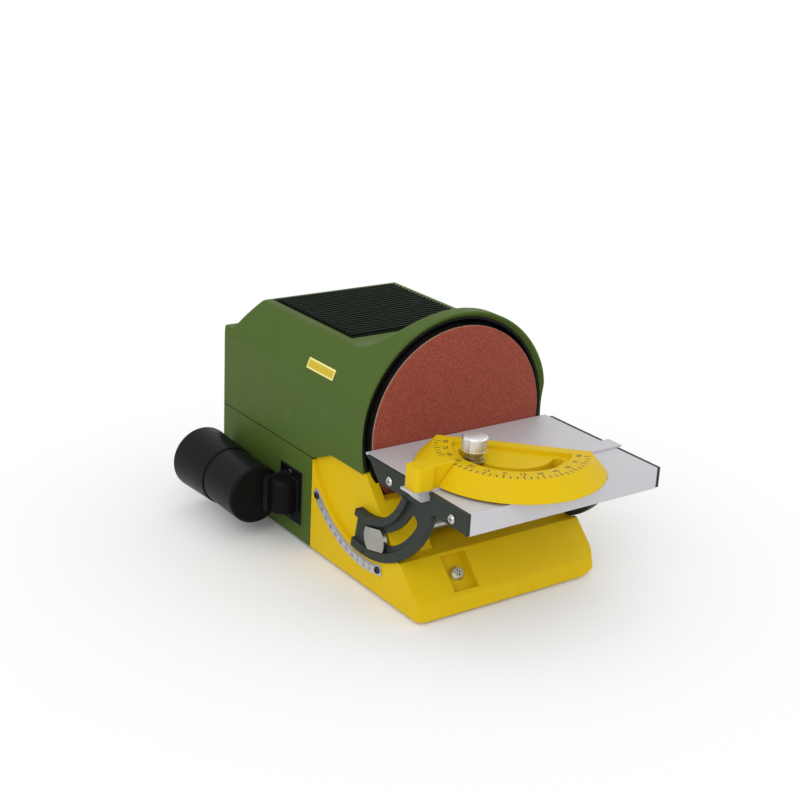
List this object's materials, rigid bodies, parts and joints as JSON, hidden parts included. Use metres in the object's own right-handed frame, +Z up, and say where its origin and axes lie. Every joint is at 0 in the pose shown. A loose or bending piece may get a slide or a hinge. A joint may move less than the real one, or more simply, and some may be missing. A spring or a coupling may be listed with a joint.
{
  "type": "benchtop disc sander",
  "caption": "Benchtop disc sander: vertical abrasive disc in a hooded housing, tilting table with a sliding mitre gauge, dust port on the left side.",
  "frame": {"origin": "bottom centre of the whole part's box, on the plane of the rubber feet", "axes": "+X to the right of the user in front of the disc, +Y away from the user along the spindle, +Z up"},
  "size_m": [0.1964, 0.3048, 0.1625],
  "materials": {
    "green_plastic": "fine-grained moulded",
    "yellow_plastic": "satin moulded",
    "black_plastic": "satin moulded",
    "cap_plastic": "satin moulded",
    "table_aluminium": "anodised, satin",
    "scale_aluminium": "satin sheet",
    "abrasive": "coated with grit",
    "steel": "turned",
    "black_steel": "blackened",
    "zinc_steel": "yellow zinc",
    "knob_chrome": "polished",
    "foot_rubber": "matt",
    "motor_paint": "satin",
    "stator_stack": "lacquered",
    "board_laminate": "satin"
  },
  "bodies": {
    "housing": {"upper_housing": "green_plastic", "lower_housing": "green_plastic", "bottom_cover": "black_plastic", "housing_screws": "black_steel", "rubber_feet": "foot_rubber", "front_base": "yellow_plastic", "base_screw": "zinc_steel", "hood_liner": "black_plastic", "roof_grille": "black_plastic", "scale_plate": "scale_aluminium", "scale_screws": "black_steel", "dust_duct": "black_plastic", "dust_elbow": "black_plastic", "port_adapter": "black_plastic", "port_screws": "black_steel", "motor_can": "motor_paint", "motor_stator": "stator_stack", "motor_mount": "black_plastic", "front_bearing": "steel", "rear_bearing": "steel", "clamp_rod": "steel", "clamp_sleeve": "steel", "switch_bezel": "black_plastic", "speed_board": "board_laminate", "speed_pot": "motor_paint", "cable_gland": "black_plastic"},
    "spindle": {"motor_shaft": "steel", "motor_rotor": "steel", "cooling_fan": "black_plastic", "disc_hub": "table_aluminium", "hub_grub_screw": "black_steel", "disc_plate": "black_steel", "abrasive_disc": "abrasive"},
    "table": {"table_plate": "table_aluminium", "left_end_quadrant": "cap_plastic", "right_end_quadrant": "cap_plastic", "end_cap_screws": "steel"},
    "clamp_knob": {"clamp_knob": "black_plastic"},
    "mitre_slide": {"guide_rail": "table_aluminium", "pointer_block": "yellow_plastic", "gauge_pivot_pin": "steel", "gauge_stud": "steel", "gauge_washer": "steel"},
    "protractor": {"protractor": "yellow_plastic"},
    "gauge_knob": {"gauge_knob": "knob_chrome"},
    "switch_rocker": {"switch_rocker": "black_plastic"},
    "speed_dial": {"speed_knob": "black_plastic", "pot_shaft": "steel"}
  },
  "joints": [
    {"name": "disc_spin", "type": "hinge", "parent": "housing", "child": "spindle", "pos_m": [0.0132, -0.03695, 0.0915], "axis": [0, 1, 0], "continuous": true},
    {"name": "table_tilt", "type": "hinge", "parent": "housing", "child": "table", "pos_m": [0.0132, -0.03995, 0.09], "axis": [1, 0, 0], "range_deg": [-10, 45]},
    {"name": "clamp_turn", "type": "hinge", "parent": "housing", "child": "clamp_knob", "pos_m": [0.0852, -0.0521, 0.03738], "axis": [1, 0, 0], "range_deg": [0, 180]},
    {"name": "gauge_slide", "type": "slide", "parent": "table", "child": "mitre_slide", "axis": [1, 0, 0], "range_m": [-0.035, 0.05]},
    {"name": "protractor_turn", "type": "hinge", "parent": "mitre_slide", "child": "protractor", "pos_m": [0.0045, -0.09695, 0.0884], "axis": [0, 0, 1], "range_deg": [-125, 35]},
    {"name": "gauge_knob_turn", "type": "hinge", "parent": "mitre_slide", "child": "gauge_knob", "pos_m": [-0.023, -0.09695, 0.0998], "axis": [0, 0, 1], "range_deg": [0, 180]},
    {"name": "switch_rock", "type": "hinge", "parent": "housing", "child": "switch_rocker", "pos_m": [0.0794, 0.07105, 0.036], "axis": [0, 1, 0], "range_deg": [0, 22]},
    {"name": "speed_turn", "type": "hinge", "parent": "housing", "child": "speed_dial", "pos_m": [0.0814, 0.10505, 0.036], "axis": [-1, 0, 0], "range_deg": [0, 270]}
  ]
}
